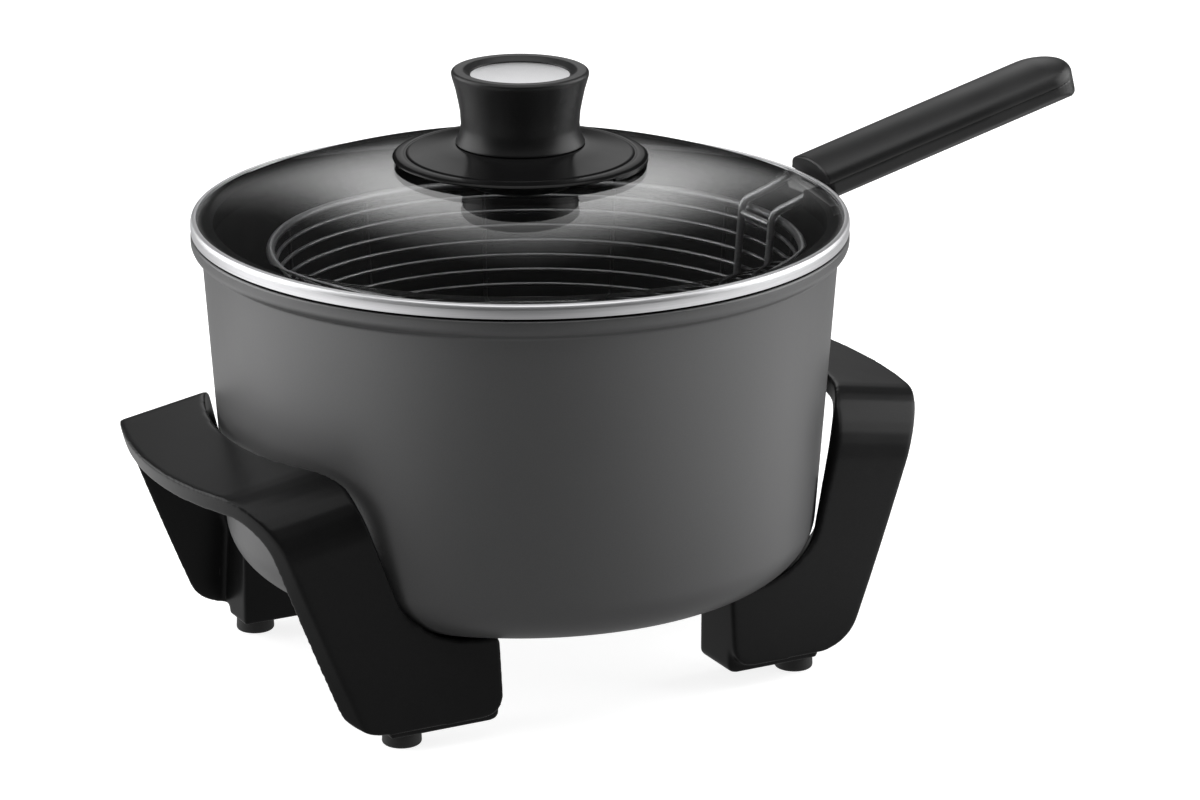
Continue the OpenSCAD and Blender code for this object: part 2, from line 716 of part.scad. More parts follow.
module basket_uprights() {
    top_z = basket_z - rim_wire_r - touch;
    low_z = base_ring_z + rim_wire_r + touch;
    color(wire_steel) translate([basket_offset, 0, 0])
        for (i = [0 : upright_count - 1]) rotate(360 * (i + 0.5) / upright_count)
            translate([basket_wall_r(low_z), 0, low_z]) rotate([0, basket_angle, 0])
                cylinder(r = mesh_wire_r, h = (top_z - low_z) / cos(basket_angle), $fn = 16);
}

module basket_hoops() {
    color(wire_steel) translate([basket_offset, 0, 0])
        for (i = [1 : hoop_count]) let (z = basket_z - rim_wire_r - (i - 0.5) * hoop_pitch)
            ring(basket_wall_r(z) - hoop_inset, mesh_wire_r, z);
}

module basket_base_ring() {
    color(wire_steel) translate([basket_offset, 0, 0]) ring(basket_base_r, rim_wire_r, base_ring_z);
}

module basket_floor() {
    color(wire_steel) translate([basket_offset, 0, 0]) {
        for (r = [floor_hub_r : floor_pitch : basket_base_r - rim_wire_d]) ring(r, mesh_wire_r, floor_ring_z);
        for (i = [0 : spoke_count - 1]) rotate(360 * i / spoke_count)
            translate([floor_hub_r - mesh_wire_d, 0, spoke_z]) rotate([0, 90, 0])
                cylinder(r = mesh_wire_r, h = basket_base_r - floor_hub_r + mesh_wire_d, $fn = 16);
    }
}

// One prong: out of the grip, down over the rim wire and down the basket's wall
module bracket_wire() {
    turn = 90 - handle_tilt - basket_angle;
    tangent = bracket_bend_r * tan(turn / 2);
    run_l = (handle_start_x - bracket_x) / cos(handle_tilt) + prong_grip - tangent;
    translate([bracket_x, 0, bracket_z]) {
        rotate([0, 90 - handle_tilt, 0]) translate([0, 0, tangent + touch])
            cylinder(r = prong_r, h = run_l, $fn = 24);
        rotate([0, 180 + basket_angle, 0]) translate([0, 0, tangent + touch])
            cylinder(r = prong_r, h = bracket_drop, $fn = 24);
        rotate([90, -handle_tilt, 0]) translate([tangent, -bracket_bend_r, 0]) rotate(90)
            rotate_extrude(angle = turn) translate([bracket_bend_r, 0]) circle(r = prong_r, $fn = 24);
    }
}

module handle_bracket() {
    bar_z = basket_z - 1;
    bar_l = prong_spacing - 2 * (prong_r + touch);
    bar_x = bracket_x - (bracket_z - bar_z) * basket_taper;
    color(wire_steel) {
        for (sy = [-1, 1]) translate([0, sy * prong_y, 0]) bracket_wire();
        translate([bar_x, -bar_l / 2, bar_z]) rotate([-90, 0, 0])
            cylinder(r = prong_r - 0.2, h = bar_l, $fn = 24);
    }
}

// Basket handle, drawn along its own axis with the joint between its shells at height 0

module at_handle() {
    translate([handle_start_x, 0, prong_start_z]) rotate([0, -handle_tilt, 0])
        translate([0, 0, handle_rise]) children();
}

module handle_plan() {
    tip_x = handle_l - handle_tip_r;
    start_half = handle_w / 2 - handle_taper;
    polygon(concat(
        [[0, -start_half + 2], [2, -start_half]],
        arc(tip_x, 0, handle_tip_r, -90, 90, 24),
        [[2, start_half], [0, start_half - 2]]));
}

// The grip's cross-section in Y and Z, kept between two heights
module handle_section(low, high) {
    intersection() {
        translate([0, handle_top_t - handle_crown_r]) circle(r = handle_crown_r, $fn = 180);
        polygon([
            [-handle_w / 2 + handle_corner_r, low], [handle_w / 2 - handle_corner_r, low],
            [handle_w / 2, min(low + handle_corner_r, 0)], [handle_w / 2, high],
            [-handle_w / 2, high], [-handle_w / 2, min(low + handle_corner_r, 0)]]);
    }
}

module prong_sockets() {
    for (sy = [-1, 1]) translate([-overcut, sy * prong_y, -handle_rise]) rotate([0, 90, 0])
        cylinder(r = prong_r + slip, h = prong_grip + 2 + overcut);
}

module handle_top() {
    color(phenolic_black) at_handle() difference() {
        intersection() {
            linear_extrude(height = handle_top_t) handle_plan();
            outward(0, handle_l) handle_section(0, handle_top_t);
        }
        for (s = handle_screw_s) translate([s, 0, -overcut])
            cylinder(r = handle_screw_r + slip, h = handle_top_t - 2 + overcut);
    }
}

module handle_underside() {
    color(phenolic_black) at_handle() difference() {
        intersection() {
            translate([0, 0, -handle_low_t]) linear_extrude(height = handle_low_t - seam) handle_plan();
            outward(0, handle_l) handle_section(-handle_low_t, 0);
        }
        prong_sockets();
        for (s = handle_screw_s) translate([s, 0, -handle_low_t - overcut]) {
            cylinder(r = handle_screw_r + slip, h = handle_low_t + 2 * overcut);
            cylinder(r = handle_screw_head_r + 0.3, h = handle_screw_sink + overcut);
        }
        translate([catch_s - catch_l / 2 - loose, -catch_w / 2 - loose, -handle_low_t - overcut])
            cube([catch_l + 2 * loose, catch_w + 2 * loose, catch_pocket_d + overcut]);
    }
}

module handle_screws() {
    color(steel) at_handle() for (s = handle_screw_s)
        translate([s, 0, -handle_low_t + handle_screw_sink])
            pan_screw(handle_screw_r, handle_low_t - handle_screw_sink + handle_top_t - 3,
                      handle_screw_head_r, handle_screw_sink - 0.4);
}

module release_catch() {
    height = catch_pocket_d - catch_travel - loose + catch_proud;
    color(phenolic_black) at_handle()
        translate([catch_s, 0, -handle_low_t + catch_pocket_d - catch_travel - loose - height])
            across(catch_w / 2) polygon([
                [-catch_l / 2, height], [-catch_l / 2, 0.8], [-catch_l / 2 + 0.8, 0],
                [catch_l / 2 - catch_proud, 0], [catch_l / 2, catch_proud], [catch_l / 2, height]]);
}

// Lid

module rim_notch(low_z) {
    translate([mouth_r - 8, -notch_half_w, low_z])
        cube([rim_r - mouth_r + 8 + overcut, 2 * notch_half_w, glass_z - low_z - touch]);
}

module lid_glass() {
    steps = 24;
    top = [for (i = [0 : steps]) let (r = dome_r * (1 - i / steps)) [r, glass_top(r)]];
    under = [for (i = [0 : steps]) let (r = dome_r * i / steps) [r, glass_under(r)]];
    color(clear_glass) difference() {
        rotate_extrude($fn = 180) polygon(concat(
            [[glass_r, glass_z], [glass_r, glass_top_z]], top, under));
        translate([0, 0, dome_under_z - overcut]) cylinder(r = knob_screw_r + 1.5, h = glass_t + 2 * overcut);
        rotate(shutter_mid) translate([vent_r, 0, glass_z])
            cylinder(r = vent_hole_r, h = dome_h + 2 * glass_t);
    }
}

module lid_band() {
    color(steel) difference() {
        rotate_extrude($fn = 180) polygon([
            [dome_r, band_z], [rim_r, band_z], [rim_r, band_top_z - 0.5], [rim_r - 0.5, band_top_z],
            [rim_r - band_lip, band_top_z], [rim_r - band_lip, band_top_z - band_t],
            [rim_r - band_t, band_top_z - band_t], [rim_r - band_t, glass_z - touch],
            [dome_r, glass_z - touch]]);
        rim_notch(gasket_z - overcut);
    }
}

module lid_gasket() {
    color(silicone_black) difference() {
        rotate_extrude($fn = 180) polygon([
            [gasket_lip_r - gasket_lip_t, gasket_z - gasket_lip_h], [gasket_lip_r, gasket_z - gasket_lip_h],
            [gasket_lip_r, gasket_z], [rim_r - 0.4, gasket_z], [rim_r - 0.4, band_z - touch],
            [gasket_lip_r - gasket_lip_t, band_z - touch]]);
        rim_notch(gasket_z - gasket_lip_h - overcut);
    }
}

// A disc that follows the dome, gap above its top face or below its underside
function over_glass(r0, r1, gap, steps) =
    [for (i = [0 : steps]) let (r = r0 + (r1 - r0) * i / steps) [r, glass_top(r) + gap]];
function under_glass(r0, r1, gap, steps) =
    [for (i = [0 : steps]) let (r = r0 + (r1 - r0) * i / steps) [r, glass_under(r) - gap]];

module knob_seal() {
    color(silicone_black) rotate_extrude() polygon(concat(
        over_glass(seal_bore_r, seal_r, touch, 4),
        [[seal_r, base_under_z - touch], [seal_bore_r, base_under_z - touch]]));
}

module retainer_seal() {
    color(silicone_black) rotate_extrude() polygon(concat(
        under_glass(seal_bore_r, seal_r, touch, 4),
        [[seal_r, retainer_top_z + touch], [seal_bore_r, retainer_top_z + touch]]));
}

module vent_grommet() {
    color(silicone_black) rotate(shutter_mid) translate([vent_r, 0, 0]) difference() {
        union() {
            translate([0, 0, glass_under(vent_r) - 1]) cylinder(r = vent_hole_r - touch, h = glass_t + 2);
            translate([0, 0, glass_under(vent_r) - 1.6]) cylinder(r = vent_hole_r + 1, h = 1);
        }
        translate([0, 0, glass_under(vent_r) - 2]) cylinder(r = vent_hole_r - grommet_wall, h = glass_t + 5);
    }
}

module knob_base() {
    pocket_r = vent_hole_r + 0.6;
    color(phenolic_black) difference() {
        rotate_extrude() polygon(concat(
            [[insert_r + loose, base_under_z], [seal_r + 1, base_under_z]],
            over_glass(seal_r + 1, base_r, loose, 6),
            [[base_r, base_edge_z], [knob_bore_r, base_neck_z], [knob_bore_r, base_top_z],
             [insert_r + loose, base_top_z]]));
        rotate(shutter_mid) translate([vent_r, 0, glass_top(base_r)]) {
            cylinder(r = pocket_r, h = base_top_z - glass_top(base_r));
            translate([0, -vent_slot_w / 2, 0]) cube([base_r, vent_slot_w, base_top_z - glass_top(base_r)]);
        }
    }
}

// The low cap that turns round the base's boss, with a shutter hanging over the vent's mouth
module vent_ring() {
    bore_r = knob_bore_r + loose;
    color(phenolic_black) {
        rotate_extrude() polygon(concat(
            [[bore_r, base_neck_z + loose], [base_r + loose, base_edge_z + loose], [base_r + loose, ring_z],
             [ring_r - 0.4, ring_z]],
            curve([ring_r, ring_z + 0.4], [ring_r - 0.4, ring_edge_z], [ring_r - 4, ring_edge_z + 0.1], 6),
            curve([ring_r - 10, ring_edge_z + 0.9], [knob_collar_d / 2 + 6, ring_top_z - 0.6],
                  [knob_collar_d / 2 + 1, ring_top_z], 5),
            [[bore_r, ring_top_z]]));
        rotate(shutter_mid - shutter_angle / 2) rotate_extrude(angle = shutter_angle)
            polygon([[ring_r - shutter_t, ring_z - shutter_drop], [ring_r - 0.3, ring_z - shutter_drop],
                     [ring_r, ring_z - shutter_drop + 0.3], [ring_r, ring_z + 0.4],
                     [ring_r - shutter_t, ring_z + 0.4]]);
    }
}

module knob_grip() {
    top_r = knob_top_d / 2;
    waist_r = knob_waist_d / 2;
    collar_r = knob_collar_d / 2;
    inlay_r = inlay_d / 2;
    color(phenolic_black) difference() {
        rotate_extrude() polygon(concat(
            [[0, base_top_z + touch], [knob_bore_r, base_top_z + touch],
             [knob_bore_r, collar_z], [collar_r, collar_z]],
            curve([collar_r, collar_z + collar_edge_t], [waist_r + 0.7, collar_z + collar_h / 3],
                  [waist_r, waist_z], 6),
            curve([waist_r, waist_z + 1], [waist_r + 0.2, knob_top_z - 12], [top_r, knob_top_z - 2.1], 8),
            curve([top_r, knob_top_z - 1.6], [top_r, knob_top_z], [top_r - 2, knob_top_z], 4),
            [[inlay_r + inlay_bevel, knob_top_z], [inlay_r + touch, knob_top_z - inlay_sink + 0.4],
             [inlay_r + touch, knob_top_z - inlay_recess], [0, knob_top_z - inlay_recess]]));
        translate([0, 0, base_top_z - overcut]) cylinder(r = insert_r, h = insert_l + overcut);
    }
}

module knob_inlay() {
    color(steel) translate([0, 0, knob_top_z - inlay_recess + touch]) {
        cylinder(r = inlay_d / 2, h = inlay_t - 0.4);
        translate([0, 0, inlay_t - 0.4]) cylinder(r1 = inlay_d / 2, r2 = inlay_d / 2 - 0.4, h = 0.4);
    }
}

module knob_insert() {
    color(brass) translate([0, 0, base_top_z]) difference() {
        cylinder(r = insert_r - touch, h = insert_l - 0.2);
        translate([0, 0, -overcut]) cylinder(r = knob_screw_r + touch, h = insert_l + 2 * overcut);
    }
}

module knob_screw() {
    color(steel) translate([0, 0, screw_head_z]) {
        cylinder(r = screw_head_r, h = screw_head_h);
        cylinder(r = knob_screw_r, h = base_top_z + insert_l - 2 - screw_head_z);
    }
}

module knob_retainer() {
    r = retainer_d / 2;
    color(phenolic_black) difference() {
        rotate_extrude() polygon(concat(
            [[0, retainer_top_z], [0, retainer_z]],
            arc(r - retainer_round, retainer_z + retainer_round, retainer_round, -90, 0, 5),
            [[r, glass_under(r) - loose]],
            under_glass(r, seal_r + 1, loose, 3),
            [[seal_r + 1, retainer_top_z]]));
        translate([0, 0, retainer_z - overcut])
            cylinder(r = knob_screw_r + slip, h = retainer_h + 2 * overcut + seal_t);
        translate([0, 0, retainer_z - overcut])
            cylinder(r = screw_head_r + 0.4, h = screw_head_z + screw_head_h - retainer_z + overcut);
    }
}

at_axis() pot();
at_axis() heat_spreader();
at_axis() heating_element();
at_axis() element_cover();
at_axis() cover_screws();
at_axis() terminal_guard();
at_axis() guard_screws();
at_axis() terminal_insulators();
at_axis() terminal_pins();
at_axis() probe_sleeve();
at_axis() left_leg_handle();
at_axis() right_leg_handle();
at_axis() leg_screws();
at_axis() foot(-1, -1);  // front_left_foot
at_axis() foot(1, -1);  // front_right_foot
at_axis() foot(-1, 1);  // rear_left_foot
at_axis() foot(1, 1);  // rear_right_foot
at_axis() basket_rim();
at_axis() basket_uprights();
at_axis() basket_hoops();
at_axis() basket_base_ring();
at_axis() basket_floor();
at_axis() handle_bracket();
at_axis() handle_top();
at_axis() handle_underside();
at_axis() handle_screws();
at_axis() release_catch();
at_axis() lid_glass();
at_axis() lid_band();
at_axis() lid_gasket();
at_axis() knob_seal();
at_axis() vent_grommet();
at_axis() knob_base();
at_axis() vent_ring();
at_axis() knob_grip();
at_axis() knob_inlay();
at_axis() knob_insert();
at_axis() knob_screw();
at_axis() retainer_seal();
at_axis() knob_retainer();
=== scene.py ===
import math

import bmesh
import bpy
from mathutils import Matrix, Quaternion, Vector


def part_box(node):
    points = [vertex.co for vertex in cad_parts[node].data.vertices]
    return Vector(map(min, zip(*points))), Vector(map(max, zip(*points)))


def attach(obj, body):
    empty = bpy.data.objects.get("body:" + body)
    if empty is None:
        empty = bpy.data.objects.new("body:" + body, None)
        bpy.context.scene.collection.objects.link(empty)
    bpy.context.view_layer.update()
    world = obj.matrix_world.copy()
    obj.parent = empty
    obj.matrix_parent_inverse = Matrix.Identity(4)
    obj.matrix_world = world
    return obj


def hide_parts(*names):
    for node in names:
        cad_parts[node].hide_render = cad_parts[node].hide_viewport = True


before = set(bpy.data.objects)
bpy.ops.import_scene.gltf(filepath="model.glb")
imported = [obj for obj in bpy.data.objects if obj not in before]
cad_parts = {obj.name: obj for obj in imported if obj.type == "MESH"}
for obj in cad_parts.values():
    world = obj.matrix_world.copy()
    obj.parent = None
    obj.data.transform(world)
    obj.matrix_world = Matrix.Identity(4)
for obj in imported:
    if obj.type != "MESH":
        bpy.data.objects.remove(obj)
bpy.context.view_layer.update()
scene = bpy.context.scene
mm = 0.001
potLow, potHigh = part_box("pot")
axisX = (potLow.x + potHigh.x) / 2       # the pot's axis in the shared frame
print("frame loaded, pot axis at x", round(axisX, 5))

# camera at the photograph's angle
camLook = {"place": (-0.79605, -1.47032, 0.63752), "aim": (0.44715, 0.83939, -0.309),
           "roll": 0.0031, "lens": 135.27}
camData = bpy.data.cameras.new("photoCamera")
camData.lens = camLook["lens"]
camData.sensor_width = 36
camData.sensor_fit = 'HORIZONTAL'
camera = bpy.data.objects.new("photoCamera", camData)
scene.collection.objects.link(camera)
camera.location = camLook["place"]
camera.rotation_mode = 'QUATERNION'
camera.rotation_quaternion = (Vector(camLook["aim"]).to_track_quat('-Z', 'Y')
                              @ Quaternion((0, 0, 1), camLook["roll"]))
scene.camera = camera
scene.view_settings.view_transform = 'Standard'
print("camera set")


# node helpers

def put(tree, kind, **values):
    node = tree.nodes.new(kind)
    for key, value in values.items():
        if hasattr(node, key):
            setattr(node, key, value)
        else:
            node.inputs[key.replace("_", " ")].default_value = value
    return node


def join(tree, source, target):
    tree.links.new(source, target)


def newGroup(name, inputs, outputs):
    group = bpy.data.node_groups.new(name, 'ShaderNodeTree')
    for label, kind, value in inputs:
        socket = group.interface.new_socket(label, in_out='INPUT', socket_type=kind)
        if value is not None:
            socket.default_value = value
    for label, kind in outputs:
        group.interface.new_socket(label, in_out='OUTPUT', socket_type=kind)
    return group, group.nodes.new('NodeGroupInput'), group.nodes.new('NodeGroupOutput')


# fine grain over soft patches, for mouldings, coatings and castings
def buildSurfaceGrain():
    group, start, end = newGroup(
        "surfaceGrain",
        [("Vector", 'NodeSocketVector', None), ("Fine Scale", 'NodeSocketFloat', 1500.0),
         ("Patch Scale", 'NodeSocketFloat', 40.0), ("Fine Share", 'NodeSocketFloat', 0.5)],
        [("Tone", 'NodeSocketFloat'), ("Patch", 'NodeSocketFloat'), ("Height", 'NodeSocketFloat')])
    fine = put(group, 'ShaderNodeTexNoise', Detail=2.0, Roughness=0.6)
    patch = put(group, 'ShaderNodeTexNoise', Detail=3.0, Roughness=0.55)
    blend = put(group, 'ShaderNodeMix', data_type='FLOAT')
    join(group, start.outputs["Vector"], fine.inputs["Vector"])
    join(group, start.outputs["Vector"], patch.inputs["Vector"])
    join(group, start.outputs["Fine Scale"], fine.inputs["Scale"])
    join(group, start.outputs["Patch Scale"], patch.inputs["Scale"])
    join(group, start.outputs["Fine Share"], blend.inputs[0])
    join(group, patch.outputs["Fac"], blend.inputs[2])
    join(group, fine.outputs["Fac"], blend.inputs[3])
    join(group, blend.outputs[0], end.inputs["Tone"])
    join(group, patch.outputs["Fac"], end.inputs["Patch"])
    join(group, fine.outputs["Fac"], end.inputs["Height"])
    return group


# fine parallel lines left by drawing, rolling or brushing
def buildBrushLines():
    group, start, end = newGroup(
        "brushLines",
        [("Vector", 'NodeSocketVector', None),
         ("Stretch", 'NodeSocketVector', (40.0, 40.0, 4000.0))],
        [("Tone", 'NodeSocketFloat'), ("Height", 'NodeSocketFloat')])
    scaled = put(group, 'ShaderNodeVectorMath', operation='MULTIPLY')
    lines = put(group, 'ShaderNodeTexNoise', Scale=1.0, Detail=3.0, Roughness=0.65)
    join(group, start.outputs["Vector"], scaled.inputs[0])
    join(group, start.outputs["Stretch"], scaled.inputs[1])
    join(group, scaled.outputs[0], lines.inputs["Vector"])
    join(group, lines.outputs["Fac"], end.inputs["Tone"])
    join(group, lines.outputs["Fac"], end.inputs["Height"])
    return group


# painted highlight along sharp edges: a pointiness mask for where the colour is made lighter
def buildEdgeHighlight():
    group, start, end = newGroup(
        "edgeHighlight", [("Low", 'NodeSocketFloat', 0.52), ("High", 'NodeSocketFloat', 0.6)],
        [("Mask", 'NodeSocketFloat')])
    shape = put(group, 'ShaderNodeNewGeometry')
    spread = put(group, 'ShaderNodeMapRange')
    join(group, shape.outputs["Pointiness"], spread.inputs["Value"])
    join(group, start.outputs["Low"], spread.inputs["From Min"])
    join(group, start.outputs["High"], spread.inputs["From Max"])
    join(group, spread.outputs["Result"], end.inputs["Mask"])
    return group


surfaceGrain = buildSurfaceGrain()
brushLines = buildBrushLines()
edgeHighlight = buildEdgeHighlight()


def startFinish(name):
    finish = bpy.data.materials.new(name)
    finish.use_nodes = True
    tree = finish.node_tree
    tree.nodes.clear()
    out = tree.nodes.new('ShaderNodeOutputMaterial')
    shader = tree.nodes.new('ShaderNodeBsdfPrincipled')
    join(tree, shader.outputs["BSDF"], out.inputs["Surface"])
    coords = tree.nodes.new('ShaderNodeTexCoord')
    return finish, tree, shader, coords


def useGroup(tree, group, vector=None, **values):
    node = tree.nodes.new('ShaderNodeGroup')
    node.node_tree = group
    for key, value in values.items():
        node.inputs[key.replace("_", " ")].default_value = value
    if vector is not None:
        join(tree, vector, node.inputs["Vector"])
    return node


def mixColours(tree, factor, dark, light):
    mix = put(tree, 'ShaderNodeMix', data_type='RGBA')
    mix.inputs[6].default_value = (*dark, 1)
    mix.inputs[7].default_value = (*light, 1)
    join(tree, factor, mix.inputs[0])
    return mix


noiseSpan = (0.3, 0.7)      # most of a noise's values lie here
bumpDepth = 0.0001          # metres of relief behind every bump


def spanValue(tree, value, low, high):
    span = put(tree, 'ShaderNodeMapRange', From_Min=noiseSpan[0], From_Max=noiseSpan[1],
               To_Min=low, To_Max=high)
    join(tree, value, span.inputs["Value"])
    return span.outputs["Result"]


def addBump(tree, shader, height, strength):
    bump = put(tree, 'ShaderNodeBump', Strength=strength, Distance=bumpDepth)
    join(tree, height, bump.inputs["Height"])
    join(tree, bump.outputs["Normal"], shader.inputs["Normal"])


# coatings, mouldings, rubber and castings
def grainyFinish(name, look):
    finish, tree, shader, coords = startFinish(name)
    grain = useGroup(tree, surfaceGrain, coords.outputs["Object"], Fine_Scale=look["fine"],
                     Patch_Scale=look["patch"], Fine_Share=look.get("fineShare", 0.5))
    tone = spanValue(tree, grain.outputs["Tone"], 0, 1)
    mix = mixColours(tree, tone, look["dark"], look["light"])
    colour = mix.outputs[2]
    rough = spanValue(tree, grain.outputs["Patch"], *look["rough"])
    # painted highlight: the colour is lightened along sharp edges, where the rounding catches the
    # light
    if "paintedEdgeHighlight" in look:
        highlightMask = useGroup(tree, edgeHighlight)
        highlighted = put(tree, 'ShaderNodeMix', data_type='RGBA')
        highlighted.inputs[7].default_value = (*look["paintedEdgeHighlight"], 1)
        join(tree, highlightMask.outputs["Mask"], highlighted.inputs[0])
        join(tree, colour, highlighted.inputs[6])
        colour = highlighted.outputs[2]
    join(tree, colour, shader.inputs["Base Color"])
    join(tree, rough, shader.inputs["Roughness"])
    shader.inputs["Metallic"].default_value = look.get("metal", 0)
    shader.inputs["Specular IOR Level"].default_value = look.get("specular", 0.5)
    addBump(tree, shader, grain.outputs["Height"], look["bump"])
    return finish


# drawn wire, rolled sheet and turned pins
def brushedFinish(name, look):
    finish, tree, shader, coords = startFinish(name)
    lines = useGroup(tree, brushLines, coords.outputs["Object"], Stretch=look["stretch"])
    tone = spanValue(tree, lines.outputs["Tone"], 0, 1)
    mix = mixColours(tree, tone, look["dark"], look["light"])
    join(tree, mix.outputs[2], shader.inputs["Base Color"])
    join(tree, spanValue(tree, lines.outputs["Tone"], *look["rough"]), shader.inputs["Roughness"])
    shader.inputs["Metallic"].default_value = 1
    addBump(tree, shader, lines.outputs["Height"], look["bump"])
    return finish


# circular brushing round the pot's axis, for the knob's disc
def spunFinish(name, look):
    finish, tree, shader, coords = startFinish(name)
    centred = put(tree, 'ShaderNodeMapping', vector_type='POINT')
    centred.inputs["Location"].default_value = (-axisX, 0, 0)
    rings = put(tree, 'ShaderNodeTexWave', wave_type='RINGS', rings_direction='Z',
                Scale=look["rings"], Distortion=look["waver"], Detail=4.0, Detail_Scale=2.0)
    join(tree, coords.outputs["Object"], centred.inputs["Vector"])
    join(tree, centred.outputs["Vector"], rings.inputs["Vector"])
    mix = mixColours(tree, rings.outputs["Fac"], look["dark"], look["light"])
    join(tree, mix.outputs[2], shader.inputs["Base Color"])
    join(tree, spanValue(tree, rings.outputs["Fac"], *look["rough"]), shader.inputs["Roughness"])
    shader.inputs["Metallic"].default_value = 1
    addBump(tree, shader, rings.outputs["Fac"], look["bump"])
    return finish


# the lid's glass
def clearFinish(name, look):
    finish, tree, shader, coords = startFinish(name)
    grain = useGroup(tree, surfaceGrain, coords.outputs["Object"], Fine_Scale=look["fine"],
                     Patch_Scale=look["patch"])
    mix = mixColours(tree, grain.outputs["Patch"], look["dark"], look["light"])
    join(tree, mix.outputs[2], shader.inputs["Base Color"])
    join(tree, spanValue(tree, grain.outputs["Patch"], *look["rough"]), shader.inputs["Roughness"])
    shader.inputs["Transmission Weight"].default_value = 1
    shader.inputs["IOR"].default_value = look["ior"]
    # lamp light passes straight through to the basket
    rays = tree.nodes.new('ShaderNodeLightPath')
    passing = tree.nodes.new('ShaderNodeBsdfTransparent')
    pick = tree.nodes.new('ShaderNodeMixShader')
    out = tree.get_output_node('ALL')
    join(tree, rays.outputs["Is Shadow Ray"], pick.inputs[0])
    join(tree, shader.outputs["BSDF"], pick.inputs[1])
    join(tree, passing.outputs["BSDF"], pick.inputs[2])
    join(tree, pick.outputs["Shader"], out.inputs["Surface"])
    return finish


finishes = {
    "charcoalCoat": grainyFinish("charcoalCoat", {
        "dark": (0.085, 0.085, 0.086), "light": (0.105, 0.105, 0.106), "rough": (0.4, 0.46),
        "fine": 3500.0, "patch": 30.0, "fineShare": 0.7, "bump": 0.02, "metal": 0.4}),
    "nonStick": grainyFinish("nonStick", {
        "dark": (0.006, 0.006, 0.006), "light": (0.009, 0.009, 0.009), "rough": (0.5, 0.6),
        "fine": 1800.0, "patch": 60.0, "bump": 0.05, "specular": 0.04}),
    "blackMoulding": grainyFinish("blackMoulding", {
        "dark": (0.0075, 0.0075, 0.0077), "light": (0.012, 0.012, 0.0122), "rough": (0.36, 0.43),
        "fine": 1600.0, "patch": 35.0, "bump": 0.04, "specular": 0.25,
        # painted edge highlight colour, lighter than the moulding
        "paintedEdgeHighlight": (0.02, 0.02, 0.02)}),
    "glossMoulding": grainyFinish("glossMoulding", {
        "dark": (0.004, 0.004, 0.0041), "light": (0.006, 0.006, 0.0061), "rough": (0.17, 0.23),
        "fine": 1600.0, "patch": 35.0, "bump": 0.03, "specular": 0.08}),
    "legMoulding": grainyFinish("legMoulding", {
        "dark": (0.0075, 0.0075, 0.0077), "light": (0.012, 0.012, 0.0122), "rough": (0.29, 0.35),
        "fine": 1600.0, "patch": 35.0, "bump": 0.04, "specular": 0.12,
        # painted edge highlight colour, lighter than the moulding
        "paintedEdgeHighlight": (0.02, 0.02, 0.02)}),
    "polishedBand": brushedFinish("polishedBand", {
        "dark": (0.5, 0.5, 0.51), "light": (0.59, 0.59, 0.6), "rough": (0.4, 0.48),
        "stretch": (15.0, 15.0, 2500.0), "bump": 0.02}),
    "plainSteel": brushedFinish("plainSteel", {
        "dark": (0.5, 0.5, 0.51), "light": (0.62, 0.62, 0.63), "rough": (0.3, 0.42),
        "stretch": (300.0, 300.0, 1800.0), "bump": 0.03}),
    "sheathSteel": brushedFinish("sheathSteel", {
        "dark": (0.16, 0.155, 0.15), "light": (0.26, 0.25, 0.24), "rough": (0.45, 0.6),
        "stretch": (200.0, 200.0, 900.0), "bump": 0.05}),
    "drawnWire": brushedFinish("drawnWire", {
        "dark": (0.1, 0.1, 0.102), "light": (0.16, 0.16, 0.162), "rough": (0.34, 0.46),
        "stretch": (150.0, 150.0, 2600.0), "bump": 0.03}),
    # painted light: the same steel wire as the basket, made lighter for the bracket, whose upper
    # runs catch the light
    "paintedLightWire": brushedFinish("paintedLightWire", {
        "dark": (0.24, 0.24, 0.243), "light": (0.34, 0.34, 0.343), "rough": (0.28, 0.38),
        "stretch": (150.0, 150.0, 2600.0), "bump": 0.03}),
    # painted shade: the same steel wire as the basket rim, made much darker for the uprights and
    # floor, which sit in shade
    "paintedShadeWire": brushedFinish("paintedShadeWire", {
        "dark": (0.025, 0.025, 0.025), "light": (0.05, 0.05, 0.05), "rough": (0.4, 0.5),
        "stretch": (2600.0, 2600.0, 150.0), "bump": 0.03}),
    "spunDisc": spunFinish("spunDisc", {
        "dark": (0.62, 0.62, 0.63), "light": (0.8, 0.8, 0.81), "rough": (0.28, 0.4),
        "rings": 900.0, "waver": 1.5, "bump": 0.05}),
    "lidGlass": clearFinish("lidGlass", {
        "dark": (0.97, 0.98, 0.98), "light": (1.0, 1.0, 1.0), "rough": (0.0, 0.012),
        "fine": 900.0, "patch": 25.0, "ior": 1.5}),
    "blackSilicone": grainyFinish("blackSilicone", {
        "dark": (0.0025, 0.0025, 0.0025), "light": (0.0045, 0.0045, 0.0045), "rough": (0.6, 0.7),
        "fine": 1200.0, "patch": 50.0, "bump": 0.05, "specular": 0.02}),
    "footRubber": grainyFinish("footRubber", {
        "dark": (0.009, 0.009, 0.009), "light": (0.016, 0.016, 0.016), "rough": (0.55, 0.7),
        "fine": 1400.0, "patch": 70.0, "bump": 0.08}),
    "bareAluminium": grainyFinish("bareAluminium", {
        "dark": (0.5, 0.505, 0.51), "light": (0.62, 0.625, 0.63), "rough": (0.35, 0.5),
        "fine": 1100.0, "patch": 45.0, "bump": 0.05, "metal": 1}),
    "bareBrass": brushedFinish("bareBrass", {
        "dark": (0.55, 0.4, 0.16), "light": (0.7, 0.54, 0.25), "rough": (0.28, 0.42),
        "stretch": (1500.0, 200.0, 200.0), "bump": 0.03}),
    "pinCeramic": grainyFinish("pinCeramic", {
        "dark": (0.72, 0.7, 0.65), "light": (0.82, 0.8, 0.76), "rough": (0.5, 0.65),
        "fine": 1500.0, "patch": 120.0, "bump": 0.06}),
}
print("finishes made:", len(finishes))


# mesh helpers

mergeGap = 1e-6             # metres between doubles
roundSteps = 6              # segments of a rounding whose outline point gives none


